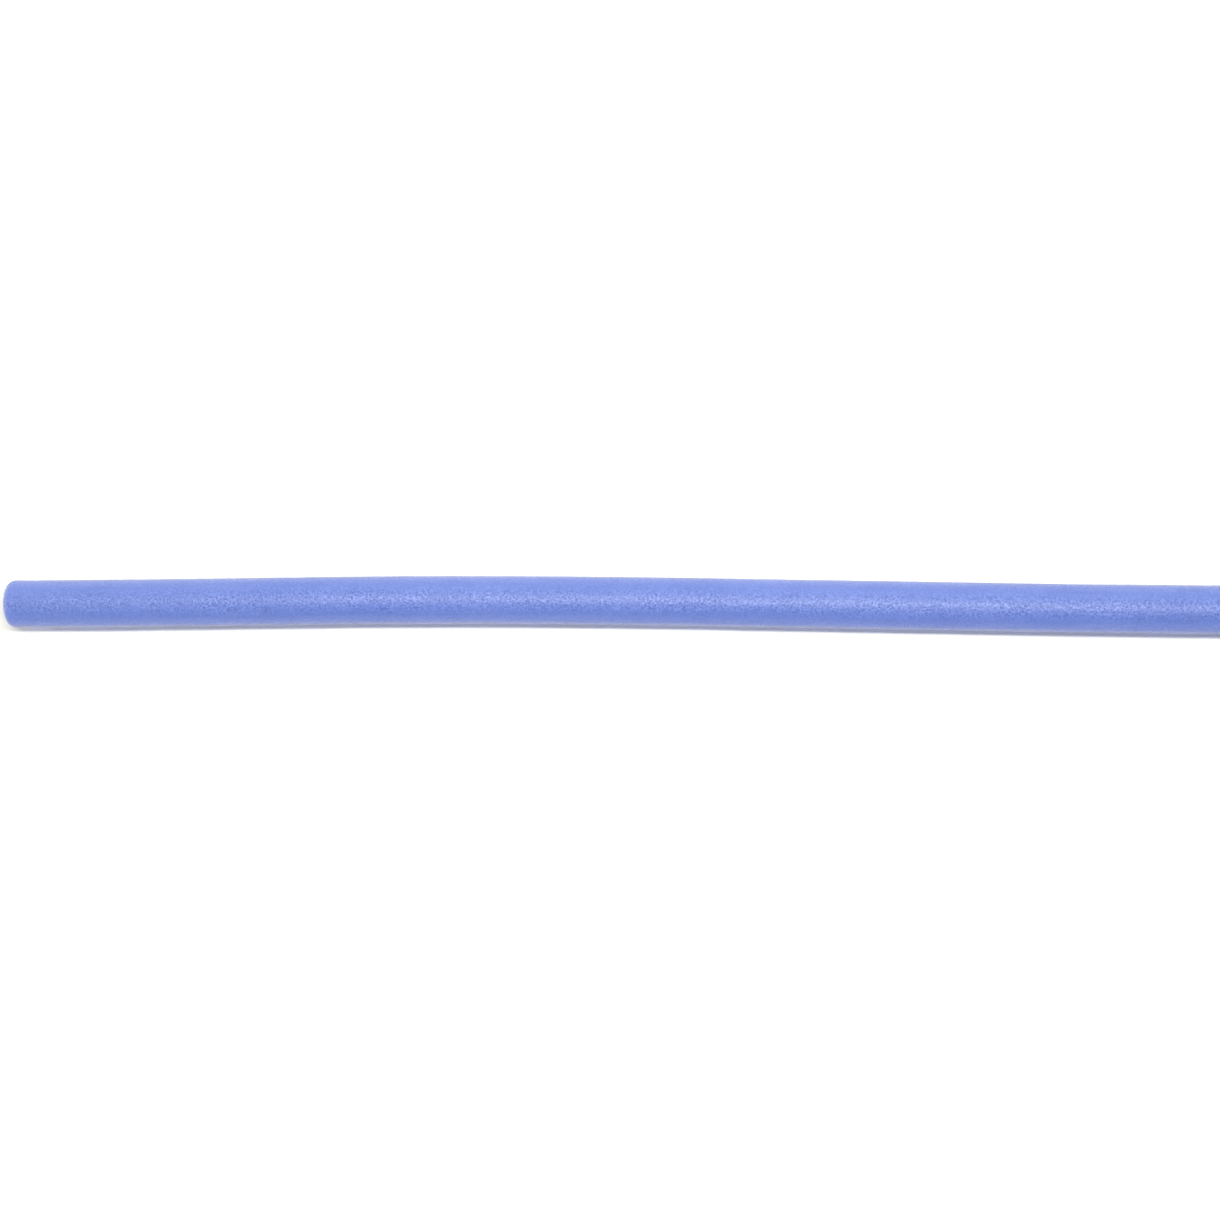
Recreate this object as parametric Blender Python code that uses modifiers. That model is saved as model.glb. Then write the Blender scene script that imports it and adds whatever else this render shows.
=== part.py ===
"""Pool noodle: one length of soft closed-cell foam, extruded round a bore, with rounded ends and a slight set bow.

Metres, +Z up. The noodle lies along X on the plane z = 0. The origin is the bottom centre of its box, and it bows
sideways, along Y.
"""

import math

import bpy

# Driving dimensions
noodle_length = 1.600
noodle_diameter = 0.060
bore_diameter = 0.020
end_rounding = 0.011
bore_mouth_rounding = 0.0015
bow_width = 0.0127  # how far the middle line strays sideways, from its highest point to its lowest

# The middle line's own points: how far along the noodle each lies, and how far aside in shares of the bow
bow_along_shares = (0.0, 0.36, 1.0)
bow_aside_shares = (0.1, 0.5, -0.5)
bow_handle_share = 0.3  # of the stretch between two points

# Fineness of the surface
facets_round = 48
spans_along = 20
end_rounding_steps = 6
mouth_rounding_steps = 2
bow_steps = 48

# Finish
foam_colour = (0.216, 0.296, 0.761, 1.0)
foam_roughness = 0.45

noodle_radius = noodle_diameter / 2
bore_radius = bore_diameter / 2


def clear_scene():
    for thing in list(bpy.data.objects):
        bpy.data.objects.remove(thing, do_unlink=True)


def make_collection(name):
    collection = bpy.data.collections.new(name)
    bpy.context.scene.collection.children.link(collection)
    return collection


def make_foam_material():
    material = bpy.data.materials.new("closed_cell_foam")
    material.use_nodes = True
    shader = material.node_tree.nodes["Principled BSDF"]
    shader.inputs["Base Color"].default_value = foam_colour
    shader.inputs["Roughness"].default_value = foam_roughness
    shader.inputs["Metallic"].default_value = 0.0
    return material


def arc(centre, radius, start, end, steps):
    """Points of an arc in the plane of length and radius, both ends included."""
    turns = [start + (end - start) * i / steps for i in range(steps + 1)]
    return [(centre[0] + radius * math.cos(t), centre[1] + radius * math.sin(t)) for t in turns]


def between(start, end, spans):
    """The points that divide a straight run into equal spans, without its two ends."""
    return [tuple(a + (b - a) * i / spans for a, b in zip(start, end)) for i in range(1, spans)]


def wall_section():
    """The wall cut lengthways, as (along, from the axis): over the skin to the left and back through the bore."""
    left, right = end_rounding, noodle_length - end_rounding
    crown = noodle_radius - end_rounding
    mouth_left, mouth_right = bore_mouth_rounding, noodle_length - bore_mouth_rounding
    lip = bore_radius + bore_mouth_rounding
    quarter = math.pi / 2

    right_end = arc((right, crown), end_rounding, 0, quarter, end_rounding_steps)
    left_end = arc((left, crown), end_rounding, quarter, 2 * quarter, end_rounding_steps)
    left_mouth = arc((mouth_left, lip), bore_mouth_rounding, -2 * quarter, -quarter, mouth_rounding_steps)
    right_mouth = arc((mouth_right, lip), bore_mouth_rounding, -quarter, 0, mouth_rounding_steps)

    section = right_end
    section += between(right_end[-1], left_end[0], spans_along)
    section += left_end
    section += left_mouth
    section += between(left_mouth[-1], right_mouth[0], spans_along)
    section += right_mouth
    return section


def make_bow_guide(collection):
    """The noodle's middle line: a smooth curve whose ends run level, so that both end faces stay square to X."""
    curve = bpy.data.curves.new("bow_guide", "CURVE")
    curve.dimensions = "3D"
    curve.twist_mode = "Z_UP"
    curve.resolution_u = bow_steps
    curve.render_resolution_u = 0
    spline = curve.splines.new("BEZIER")
    spline.bezier_points.add(len(bow_along_shares) - 1)
    along = [share * noodle_length for share in bow_along_shares]
    aside = [share * bow_width for share in bow_aside_shares]
    for i, point in enumerate(spline.bezier_points):
        back = bow_handle_share * (along[i] - along[max(i - 1, 0)])
        ahead = bow_handle_share * (along[min(i + 1, len(along) - 1)] - along[i])
        point.handle_left_type = "FREE"
        point.handle_right_type = "FREE"
        point.co = (along[i], aside[i], 0)
        point.handle_left = (along[i] - (back or ahead), aside[i], 0)
        point.handle_right = (along[i] + (ahead or back), aside[i], 0)
    guide = bpy.data.objects.new("bow_guide", curve)
    guide.hide_render = True
    guide.display_type = "WIRE"
    collection.objects.link(guide)
    return guide


def make_foam_tube(collection, guide):
    """The whole noodle: the wall section turned round the bore's axis, then bent along the guide."""
    half_facet = math.pi / facets_round
    # Measured across its flats, each ring is as wide as its name says, and one flat lies on the floor.
    corner = 1 / math.cos(half_facet)
    section = [
        (x, r * corner * math.sin(half_facet), -r * corner * math.cos(half_facet)) for x, r in wall_section()
    ]
    edges = [(i, (i + 1) % len(section)) for i in range(len(section))]
    mesh = bpy.data.meshes.new("foam_tube")
    mesh.from_pydata(section, edges, [])
    mesh.materials.append(make_foam_material())
    tube = bpy.data.objects.new("foam_tube", mesh)
    collection.objects.link(tube)

    turn = tube.modifiers.new("turn", "SCREW")
    turn.axis = "X"
    turn.steps = facets_round
    turn.render_steps = facets_round
    turn.use_merge_vertices = False
    turn.use_smooth_shade = True

    bend = tube.modifiers.new("bend", "CURVE")
    bend.object = guide
    bend.deform_axis = "POS_X"
    return tube


def main():
    clear_scene()
    parts = make_collection("pool_noodle")
    guides = make_collection("guides")
    guide = make_bow_guide(guides)
    tube = make_foam_tube(parts, guide)
    for thing in (guide, tube):
        thing.location = (-noodle_length / 2, 0, noodle_radius)


main()
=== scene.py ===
import bpy
import bmesh
import math
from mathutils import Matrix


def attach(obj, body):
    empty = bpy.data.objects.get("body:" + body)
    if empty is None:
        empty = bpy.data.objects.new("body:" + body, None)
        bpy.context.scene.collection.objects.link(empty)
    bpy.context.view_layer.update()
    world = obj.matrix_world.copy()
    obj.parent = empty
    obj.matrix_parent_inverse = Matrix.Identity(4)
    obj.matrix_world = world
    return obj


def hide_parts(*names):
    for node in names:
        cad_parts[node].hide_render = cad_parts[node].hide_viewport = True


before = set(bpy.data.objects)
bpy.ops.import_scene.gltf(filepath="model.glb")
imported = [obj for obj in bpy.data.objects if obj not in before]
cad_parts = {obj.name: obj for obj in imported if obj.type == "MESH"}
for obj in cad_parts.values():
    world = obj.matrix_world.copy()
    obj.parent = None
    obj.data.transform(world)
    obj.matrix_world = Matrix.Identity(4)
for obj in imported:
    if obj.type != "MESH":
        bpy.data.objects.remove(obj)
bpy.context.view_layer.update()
bpy.ops.object.select_all(action="DESELECT")  # the import leaves the CAD nodes selected
print("frame loaded")

# Everything is in metres. The noodle lies along X on the plane z = 0, and its middle line bows sideways.
noodle = {
    "name": "noodleFoam",
    "length": 1.6,
    "radius": 0.03,
    "boreRadius": 0.01,
    "facets": 96,
    "endRounding": 0.011,
    "endRoundingSteps": 12,
    "mouthRounding": 0.0015,
    "mouthRoundingSteps": 3,
    "skinCuts": 735,
    "boreMouthReach": 0.1,  # this far in from each end, the bore is seen through its mouth
    "boreMouthCuts": 40,
    "boreMiddleCuts": 32,
    "ringCuts": 7,
    "ringSplits": 2,
    "contactDepth": 0.0003,  # how far the foam flattens where it lies
}

bow = {
    "width": 0.0127,
    "along": (0.0, 0.36, 1.0),  # shares of the length
    "aside": (0.1, 0.5, -0.5),  # shares of the width
    "handle": 0.3,
    "steps": 48,
}

# Unevenness of the foam: which part of it, the texture, its grain size, how high it stands, its middle level
unevenness = {
    "longWaves": ("skin", "CLOUDS", 0.09, 0.0005, 0.5),
    "dimples": ("skin", "CLOUDS", 0.014, 0.00018, 0.5),
    "cellSwell": ("skin", "CLOUDS", 0.0048, 0.00020, 0.5),
    "cutCells": ("ring", "VORONOI", 0.0016, 0.0007, 1.0),
    "cutWaves": ("ring", "CLOUDS", 0.008, 0.0004, 1.0),
    "boreRipple": ("bore", "CLOUDS", 0.011, 0.0009, 0.5),
    "boreCells": ("bore", "CLOUDS", 0.0045, 0.0003, 0.5),
}

# How near counts as lying on a size, and the lengths that tell the edges of the mesh apart
onPlane, onCircle = 0.00001, 0.0002
shortestLengthwise, shortestSpoke, boreMouthLongest = 0.05, 0.001, 0.2
endFacing = 0.9
ringFade = 0.0008  # over this width, the cut ring's unevenness grows from nothing at its rims
mapInset = 0.004


def fromAxis(point):
    return math.hypot(point.y, point.z - noodle["radius"])


def selectFaces(piece, wanted):
    bpy.ops.mesh.select_mode(type="FACE")
    mesh = bmesh.from_edit_mesh(piece.data)
    for face in mesh.faces:
        face.select_set(wanted(face))
    bmesh.update_edit_mesh(piece.data)


def selectEdges(piece, wanted):
    bpy.ops.mesh.select_all(action="DESELECT")
    bpy.ops.mesh.select_mode(type="EDGE")
    mesh = bmesh.from_edit_mesh(piece.data)
    for edge in mesh.edges:
        edge.select_set(wanted(edge))
    bmesh.update_edit_mesh(piece.data)


def isLengthwise(edge, radius, longest=2.0):
    a, b = (v.co for v in edge.verts)
    return shortestLengthwise < abs(a.x - b.x) < longest and abs(fromAxis(a) - radius) < onCircle


def isEndCircle(edge, radius):
    a, b = (v.co for v in edge.verts)
    return abs(a.x - b.x) < onPlane and all(abs(fromAxis(p) - radius) < onCircle for p in (a, b))


def isSpoke(edge):
    a, b = (v.co for v in edge.verts)
    atEnd = abs(a.x - b.x) < onPlane and abs(a.x) > noodle["length"] / 2 - onPlane
    return atEnd and abs(fromAxis(a) - fromAxis(b)) > shortestSpoke


def isRing(face):
    return all(abs(v.co.x) > noodle["length"] / 2 - onPlane for v in face.verts)


def makeNoodle():
    radius, boreRadius = noodle["radius"], noodle["boreRadius"]
    bpy.ops.mesh.primitive_cylinder_add(
        vertices=noodle["facets"], radius=radius, depth=noodle["length"], end_fill_type="NGON",
        location=(0, 0, radius), rotation=(0, math.pi / 2, 0))
    piece = bpy.context.object
    piece.name = noodle["name"]
    piece.data.name = noodle["name"]
    bpy.ops.object.transform_apply(location=True, rotation=True, scale=True)
    bpy.ops.object.mode_set(mode="EDIT")

    # the bore: both ends inset, then joined through the foam
    selectFaces(piece, lambda f: abs(f.normal.x) > endFacing)
    bpy.ops.mesh.inset(thickness=radius - boreRadius, use_even_offset=True)
    bpy.ops.mesh.bridge_edge_loops()

    # rounded ends and bore mouths
    for circle, rounding, steps in ((radius, noodle["endRounding"], noodle["endRoundingSteps"]),
                                    (boreRadius, noodle["mouthRounding"], noodle["mouthRoundingSteps"])):
        selectEdges(piece, lambda e: isEndCircle(e, circle))
        bpy.ops.mesh.bevel(
            offset=rounding, segments=steps, profile=0.5, affect="EDGES", clamp_overlap=False)

    # spans along the skin
    selectEdges(piece, lambda e: isLengthwise(e, radius))
    bpy.ops.mesh.subdivide_edgering(number_cuts=noodle["skinCuts"], interpolation="LINEAR")

    # spans along the bore, fine near its mouths
    for side in (-1, 1):
        selectFaces(piece, lambda f: fromAxis(f.calc_center_median()) < boreRadius and len(f.verts) == 4
                    and max(v.co.x for v in f.verts) - min(v.co.x for v in f.verts) > boreMouthLongest)
        bpy.ops.mesh.bisect(plane_co=(side * (noodle["length"] / 2 - noodle["boreMouthReach"]), 0, 0),
                            plane_no=(1, 0, 0))
    selectEdges(piece, lambda e: isLengthwise(e, boreRadius, longest=boreMouthLongest))
    bpy.ops.mesh.subdivide_edgering(number_cuts=noodle["boreMouthCuts"], interpolation="LINEAR")
    selectEdges(piece, lambda e: isLengthwise(e, boreRadius))
    bpy.ops.mesh.subdivide_edgering(number_cuts=noodle["boreMiddleCuts"], interpolation="LINEAR")

    # a close mesh on the two cut rings
    selectEdges(piece, isSpoke)
    bpy.ops.mesh.subdivide_edgering(number_cuts=noodle["ringCuts"], interpolation="LINEAR")
    selectFaces(piece, isRing)
    bpy.ops.mesh.subdivide(number_cuts=noodle["ringSplits"])
    bpy.ops.object.mode_set(mode="OBJECT")
    bpy.ops.object.shade_smooth()
    print("noodle shaped:", len(piece.data.vertices), "vertices")
    return piece


# Where each part of the surface lies on the map that its textures are kept on: left, bottom, width, height
mapLayout = {
    "skin": ((0.005, 0.004, 0.99, 0.246), (0.005, 0.258, 0.99, 0.246), (0.005, 0.512, 0.99, 0.246)),
    "ring": ((0.005, 0.772, 0.215, 0.215), (0.228, 0.772, 0.215, 0.215)),
    "boreEnds": ((0.453, 0.772, 0.266, 0.1), (0.727, 0.772, 0.266, 0.1)),
    "boreMiddle": (0.453, 0.88, 0.54, 0.107),
}


def layOutMap(piece):
    mesh = piece.data
    layer = mesh.uv_layers.new(name="OFBake")
    radius, rounding, half = noodle["radius"], noodle["endRounding"], noodle["length"] / 2
    crown, lip = radius - rounding, noodle["boreRadius"] + noodle["mouthRounding"]
    straight, quarter = half - rounding, rounding * math.pi / 2
    third = 2 * (straight + quarter) / 3
    reach = noodle["boreMouthReach"]

    def turnOf(point):
        return math.atan2(point.y, point.z - radius) / (2 * math.pi)

    def alongSkin(point):
        over = max(0.0, abs(point.x) - straight)
        swing = math.atan2(over, fromAxis(point) - crown) * rounding
        return straight + quarter + math.copysign(min(abs(point.x), straight) + swing, point.x)

    for face in mesh.polygons:
        middle = face.center
        out, turn = fromAxis(middle), turnOf(middle)
        for corner in face.loop_indices:
            point = mesh.vertices[mesh.loops[corner].vertex_index].co
            around = turnOf(point)
            around += round(turn - around) + 0.5
            if out > crown:
                strip = min(2, int(alongSkin(middle) / third))
                place, share = mapLayout["skin"][strip], (alongSkin(point) - strip * third) / third
            elif out > lip:
                place, share = mapLayout["ring"][middle.x > 0], 0.5 + point.y / (2 * crown)
                around = 0.5 + (point.z - radius) / (2 * crown)
            elif abs(middle.x) > half - reach:
                place, share = mapLayout["boreEnds"][middle.x > 0], (half - abs(point.x)) / reach
            else:
                place, share = mapLayout["boreMiddle"], 0.5 + point.x / (2 * (half - reach))
            left, bottom, width, height = place
            inset = mapInset / width
            share = inset + share * (1 - 2 * inset)
            layer.data[corner].uv = (left + share * width, bottom + around * height)
    print("map laid out")


def groupParts(piece):
    # three groups of points, told apart by how far they lie from the axis
    crown = noodle["radius"] - noodle["endRounding"]
    lip = noodle["boreRadius"] + noodle["mouthRounding"]
    groups = {name: piece.vertex_groups.new(name=name) for name in ("skin", "ring", "bore")}
    for v in piece.data.vertices:
        out = fromAxis(v.co)
        if out > crown + onPlane:
            groups["skin"].add([v.index], 1.0, "REPLACE")
        elif out > lip - onPlane:
            toEdge = min(out - lip, crown - out)
            groups["ring"].add([v.index], min(1.0, max(0.0, toEdge / ringFade)), "REPLACE")
        else:
            groups["bore"].add([v.index], 1.0, "REPLACE")


def roughen(piece):
    bpy.context.view_layer.objects.active = piece
    for name, (group, kind, grain, height, middle) in unevenness.items():
        texture = bpy.data.textures.new(name, kind)
        texture.noise_scale = grain
        if kind == "CLOUDS":
            texture.noise_depth = 1
        bpy.ops.object.modifier_add(type="DISPLACE")
        push = piece.modifiers[-1]
        push.name = name
        push.texture = texture
        push.texture_coords = "LOCAL"
        push.vertex_group = group
        push.strength = height
        push.mid_level = middle
        bpy.ops.object.modifier_apply(modifier=name)
    print("foam roughened")


def settleOnFloor(piece):
    # the foam flattens a little where it lies
    bpy.ops.object.mode_set(mode="EDIT")
    bpy.ops.mesh.select_all(action="DESELECT")
    bpy.ops.mesh.select_mode(type="VERT")
    mesh = bmesh.from_edit_mesh(piece.data)
    for v in mesh.verts:
        v.select_set(v.co.z < noodle["contactDepth"])
    bmesh.update_edit_mesh(piece.data)
    bpy.ops.transform.resize(value=(1, 1, 0), center_override=(0, 0, 0))
    bpy.ops.object.mode_set(mode="OBJECT")
    print("foam settled on the floor")


def bend(piece):
    length = noodle["length"]
    start = -length / 2
    bpy.ops.curve.primitive_bezier_curve_add(location=(start, 0, noodle["radius"]))
    guide = bpy.context.object
    guide.name = "bowGuide"
    guide.data.twist_mode = "Z_UP"
    guide.data.resolution_u = bow["steps"]
    spline = guide.data.splines[0]
    spline.bezier_points.add(len(bow["along"]) - len(spline.bezier_points))
    along = [share * length for share in bow["along"]]
    aside = [share * bow["width"] for share in bow["aside"]]
    for i, point in enumerate(spline.bezier_points):
        back = bow["handle"] * (along[i] - along[max(i - 1, 0)])
        ahead = bow["handle"] * (along[min(i + 1, len(along) - 1)] - along[i])
        point.handle_left_type = point.handle_right_type = "FREE"
        point.co = (along[i], aside[i], 0)
        point.handle_left = (along[i] - (back or ahead), aside[i], 0)
        point.handle_right = (along[i] + (ahead or back), aside[i], 0)
    bpy.ops.object.select_all(action="DESELECT")
    piece.select_set(True)
    bpy.context.view_layer.objects.active = piece
    bpy.ops.object.modifier_add(type="CURVE")
    turn = piece.modifiers[-1]
    turn.object = guide
    turn.deform_axis = "POS_X"
    bpy.ops.object.modifier_apply(modifier=turn.name)
    bpy.data.objects.remove(guide, do_unlink=True)
    print("noodle bent")


# Finishes: sizes and depths in metres. A speck is a cell close under the skin, lighter or darker than the
# foam round it by the given part of each colour; made stronger along the top of the skin, the same tints are
# painted glints.
foamLooks = {
    "foamSkin": {
        "deep": (0.190, 0.278, 0.805, 1), "pale": (0.220, 0.314, 0.860, 1),
        "speck": 0.0027, "speckAndGlintTint": (0.45, 0.40, 0.29), "speckShare": 0.19,
        "smooth": 0.28, "rough": 0.46, "cell": 0.0034, "cellDepth": 0.0003, "swellDepth": 0.0006,
        "sheen": 0.45,
    },
    "cutFoam": {
        "deep": (0.180, 0.255, 0.700, 1), "pale": (0.250, 0.340, 0.800, 1),
        "speck": 0.0014, "speckAndGlintTint": (0.55, 0.50, 0.35), "speckShare": 0.8,
        "smooth": 0.62, "rough": 0.85, "cell": 0.0013, "cellDepth": 0.00045, "swellDepth": 0.0006,
        "sheen": 0.0,
    },
    "boreFoam": {
        "deep": (0.170, 0.240, 0.680, 1), "pale": (0.205, 0.285, 0.750, 1),
        "speck": 0.0032, "speckAndGlintTint": (0.45, 0.40, 0.29), "speckShare": 0.3,
        "smooth": 0.5, "rough": 0.7, "cell": 0.0018, "cellDepth": 0.0003, "swellDepth": 0.0009,
        "sheen": 0.0,
    },
}
sheenRoughness, sheenTint = 0.3, (1, 0.93, 0.6, 1)  # the cells under the skin scatter light that grazes it
paintedGlintLow, paintedGlintHigh = 0.052, 0.0597  # along the top of the skin the specks are made stronger, as painted glints of the highlight
glintPatchSize, faintestGlintPatch = 0.022, 0.4  # and there the painted glints come in patches
cloudSize = 0.07
streakSize, streakDraw = 0.009, 0.05  # the streaks are drawn out along X by one over this
# the stretch of each noise that counts, from the end that gives nothing to the end that gives all
mottleStretch, speckStretch = (0.38, 0.62), (0.32, 0.68)
glintPatchStretch, glossStretch = (0.35, 0.65), (0.65, 0.35)


def node(tree, kind, place, inputs=None, **settings):
    made = tree.nodes.new(kind)
    made.location = place
    for name, value in settings.items():
        setattr(made, name, value)
    for name, value in (inputs or {}).items():
        made.inputs[name].default_value = value
    return made


def newMaterial(name):
    material = bpy.data.materials.new(name)
    material.use_nodes = True
    return material, material.node_tree, material.node_tree.nodes["Principled BSDF"]


def makeFoam(name):
    look = foamLooks[name]
    material, tree, shader = newMaterial(name)
    link = tree.links.new
    coords = node(tree, "ShaderNodeTexCoord", (-1700, 0)).outputs["Object"]

    def noise(place, size, detail, vector=coords):
        made = node(tree, "ShaderNodeTexNoise", place,
                    {"Scale": 1 / size, "Detail": detail, "Roughness": 0.55})
        link(vector, made.inputs["Vector"])
        return made.outputs["Fac"]

    def spread(place, value, low, high, toLow=0.0, toHigh=1.0):
        made = node(tree, "ShaderNodeMapRange", place,
                    {"From Min": low, "From Max": high, "To Min": toLow, "To Max": toHigh})
        link(value, made.inputs["Value"])
        return made.outputs["Result"]

    def times(place, first, second):
        made = node(tree, "ShaderNodeMath", place, operation="MULTIPLY")
        link(first, made.inputs[0])
        link(second, made.inputs[1])
        return made.outputs["Value"]

    def blend(place, share, under, over, way="MIX"):
        made = node(tree, "ShaderNodeMix", place, data_type="RGBA", blend_type=way)
        for socket, value in ((made.inputs[0], share), (made.inputs[6], under), (made.inputs[7], over)):
            if isinstance(value, (float, tuple)):
                socket.default_value = value
            else:
                link(value, socket)
        return made.outputs[2]

    # lengthwise streaks from the extruder: the same noise, drawn out along X
    drawn = node(tree, "ShaderNodeMapping", (-1450, -350), {"Scale": (streakDraw, 1, 1)})
    link(coords, drawn.inputs["Vector"])
    streaks = noise((-1200, -350), streakSize, 2.0, drawn.outputs["Vector"])
    clouds = noise((-1200, 500), cloudSize, 3.0)
    specks = noise((-1200, 250), look["speck"], 1.0)
    cells = node(tree, "ShaderNodeTexVoronoi", (-1200, -150),
                 {"Scale": 1 / look["cell"], "Smoothness": 0.3}, feature="SMOOTH_F1")
    link(coords, cells.inputs["Vector"])

    # colour: slow clouds and streaks, then the specks, as dark and pale tints that multiply it, made
    # stronger along the top of the skin as painted glints
    mottle = spread((-700, 400), blend((-900, 400), 0.5, clouds, streaks), *mottleStretch)
    colour = blend((-450, 400), mottle, look["deep"], look["pale"])
    tone = spread((-900, 150), specks, *speckStretch)
    dark = tuple(1 - part for part in look["speckAndGlintTint"]) + (1,)
    bright = tuple(1 + part for part in look["speckAndGlintTint"]) + (1,)
    tint = blend((-700, 150), tone, dark, bright)
    if name == "foamSkin":
        # painted glints: along the top of the skin, in patches, the specks' tints count fully and stand in
        # for the sparkle of the highlight
        height = node(tree, "ShaderNodeSeparateXYZ", (-1450, 700))
        link(coords, height.inputs["Vector"])
        paintedGlintBelt = spread((-1200, 700), height.outputs["Z"], paintedGlintLow, paintedGlintHigh)
        glintPatches = spread((-1200, 900), noise((-1450, 900), glintPatchSize, 1.0), *glintPatchStretch, faintestGlintPatch)
        glintStrength = times((-800, 700), times((-950, 700), paintedGlintBelt, paintedGlintBelt), glintPatches)
        share = spread((-650, 700), glintStrength, 0.0, 1.0, look["speckShare"], 1.0)
    else:
        share = look["speckShare"]
    link(blend((-250, 300), share, colour, tint, "MULTIPLY"), shader.inputs["Base Color"])

    roughness = spread((-450, 100), specks, *glossStretch, look["smooth"], look["rough"])
    link(roughness, shader.inputs["Roughness"])

    normal = None
    reliefs = ((cells.outputs["Distance"], look["cellDepth"], name == "cutFoam"),
               (specks, look["swellDepth"], True))
    for i, (height, depth, upside) in enumerate(reliefs):
        bump = node(tree, "ShaderNodeBump", (-700 + 200 * i, -250), {"Strength": 1.0, "Distance": depth},
                    invert=not upside)
        link(height, bump.inputs["Height"])
        if normal:
            link(normal, bump.inputs["Normal"])
        normal = bump.outputs["Normal"]
    link(normal, shader.inputs["Normal"])

    shader.inputs["Sheen Weight"].default_value = look["sheen"]
    shader.inputs["Sheen Roughness"].default_value = sheenRoughness
    shader.inputs["Sheen Tint"].default_value = sheenTint
    return material


def dress(piece):
    for name in foamLooks:
        piece.data.materials.append(makeFoam(name))
    crown = noodle["radius"] - noodle["endRounding"]
    lip = noodle["boreRadius"] + noodle["mouthRounding"]
    for face in piece.data.polygons:
        out = fromAxis(face.center)
        face.material_index = 0 if out > crown else 1 if out > lip else 2
    print("finishes made")


noodlePiece = makeNoodle()
groupParts(noodlePiece)
layOutMap(noodlePiece)
dress(noodlePiece)
roughen(noodlePiece)
settleOnFloor(noodlePiece)
bend(noodlePiece)

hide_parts("foam_tube")
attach(noodlePiece, "root")

# The studio: a white floor that runs into a white backdrop, three soft lamps overhead and two low ones
studio = {
    "floorSize": 30.0,
    "floorWhite": (1.32, 1.31, 1.23, 1),  # warm, and brighter than white card, so that the ground burns out
    # away from the noodle the floor glows, so that it meets the backdrop unseen: soonest at its long sides
    "glowShape": (0.55, 1.6, 1),
    "glowFrom": 0.5,
    "glowTo": 1.5,
    "glow": 1.0,
    "backdropWhite": 1.0,
}
lamps = {  # place, turn about Y in degrees, size across X and Y, watts, and colour
    "overheadSoftbox": ((0.25, 0.42, 2.55), 0, (2.6, 0.26), 51.0, (1, 0.985, 0.945)),
    "nearSoftbox": ((0.1, -0.54, 2.54), 0, (2.6, 0.45), 11.5, (1, 0.975, 0.84)),
    "farSoftbox": ((0, 2.0, 1.6), 0, (4.4, 0.6), 21.0, (1, 0.98, 0.87)),
    "leftSoftbox": ((-2.0, 0, 0.45), -71, (0.5, 0.9), 7.0, (1, 0.97, 0.86)),
    "lowFill": ((0, -2.4, 0.22), 0, (4.4, 0.3), 13.0, (0.54, 0.68, 1)),
}

bpy.ops.mesh.primitive_plane_add(size=studio["floorSize"], location=(0, 0, 0))
floor = bpy.context.object
floor.name = "studioFloor"
floorMaterial = bpy.data.materials.new("paleFloor")
floorMaterial.use_nodes = True
floorTree = floorMaterial.node_tree
floorTree.nodes.clear()
matt = node(floorTree, "ShaderNodeBsdfDiffuse", (0, 0), {"Color": studio["floorWhite"]})
floorPlace = node(floorTree, "ShaderNodeTexCoord", (-600, -200))
shaped = node(floorTree, "ShaderNodeVectorMath", (-500, -200), operation="MULTIPLY")
shaped.inputs[1].default_value = studio["glowShape"]
away = node(floorTree, "ShaderNodeVectorMath", (-350, -200), operation="LENGTH")
fade = node(floorTree, "ShaderNodeMapRange", (-200, -200),
            {"From Min": studio["glowFrom"], "From Max": studio["glowTo"], "To Max": studio["glow"]},
            interpolation_type="SMOOTHSTEP")
glow = node(floorTree, "ShaderNodeEmission", (0, -200), {"Color": (1, 1, 1, 1)})
both = node(floorTree, "ShaderNodeAddShader", (200, 0))
floorOutput = node(floorTree, "ShaderNodeOutputMaterial", (400, 0))
floorTree.links.new(floorPlace.outputs["Object"], shaped.inputs[0])
floorTree.links.new(shaped.outputs["Vector"], away.inputs[0])
floorTree.links.new(away.outputs["Value"], fade.inputs["Value"])
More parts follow.
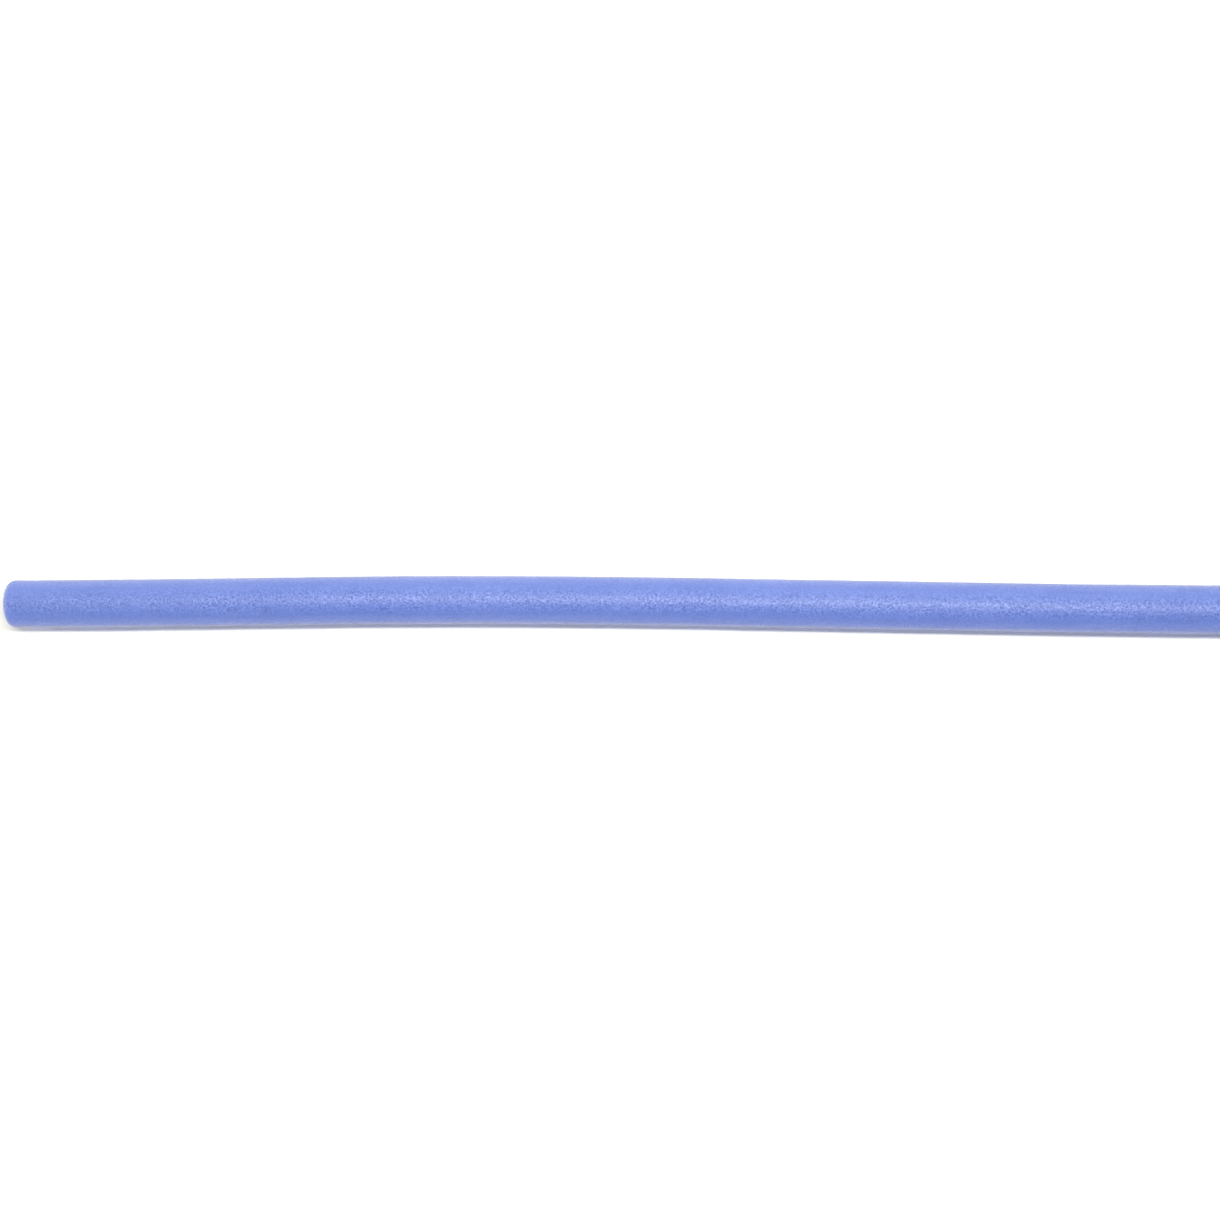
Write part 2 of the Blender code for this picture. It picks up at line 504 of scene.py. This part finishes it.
floorTree.links.new(fade.outputs["Result"], glow.inputs["Strength"])
floorTree.links.new(matt.outputs["BSDF"], both.inputs[0])
floorTree.links.new(glow.outputs["Emission"], both.inputs[1])
floorTree.links.new(both.outputs["Shader"], floorOutput.inputs["Surface"])
floorMaterial.cycles.emission_sampling = "NONE"
floor.data.materials.append(floorMaterial)

# the backdrop is white to the camera and gives no light of its own
world = bpy.data.worlds.new("whiteBackdrop")
bpy.context.scene.world = world
world.use_nodes = True
roomTree = world.node_tree
backdrop = roomTree.nodes["Background"]
backdrop.inputs["Color"].default_value = (1, 1, 1, 1)
seen = node(roomTree, "ShaderNodeLightPath", (-400, 0))
strength = node(roomTree, "ShaderNodeMath", (-200, 0), operation="MULTIPLY")
strength.inputs[1].default_value = studio["backdropWhite"]
roomTree.links.new(seen.outputs["Is Camera Ray"], strength.inputs[0])
roomTree.links.new(strength.outputs["Value"], backdrop.inputs["Strength"])
world.cycles.sampling_method = "NONE"  # only the lamps are sampled, so the picture's grain is the foam's own

for name, (place, turn, size, watts, colour) in lamps.items():
    # the long lamps run along X, and are tilted about X to face the noodle
    tilt = -math.atan2(place[1], place[2])
    bpy.ops.object.light_add(type="AREA", location=place, rotation=(tilt, math.radians(turn), 0))
    light = bpy.context.object
    light.name = name
    light.data.shape = "RECTANGLE"
    light.data.size, light.data.size_y = size
    light.data.energy = watts
    light.data.color = colour
    light.visible_camera = False

view = {
    "lookAt": (-0.0334, -0.0066, 0.03),
    "distance": 3.0,
    "yaw": 3.16,
    "lens": 70.6,
}
yaw = math.radians(view["yaw"])
bpy.ops.object.camera_add(
    location=(view["lookAt"][0] + view["distance"] * math.sin(yaw), view["lookAt"][1],
              view["lookAt"][2] + view["distance"] * math.cos(yaw)),
    rotation=(0, yaw, 0))
camera = bpy.context.object
camera.name = "overheadCamera"
camera.data.lens = view["lens"]
camera.data.sensor_width = 36
bpy.context.scene.camera = camera
bpy.context.scene.view_settings.view_transform = "Standard"
print("studio, lamps and camera set")
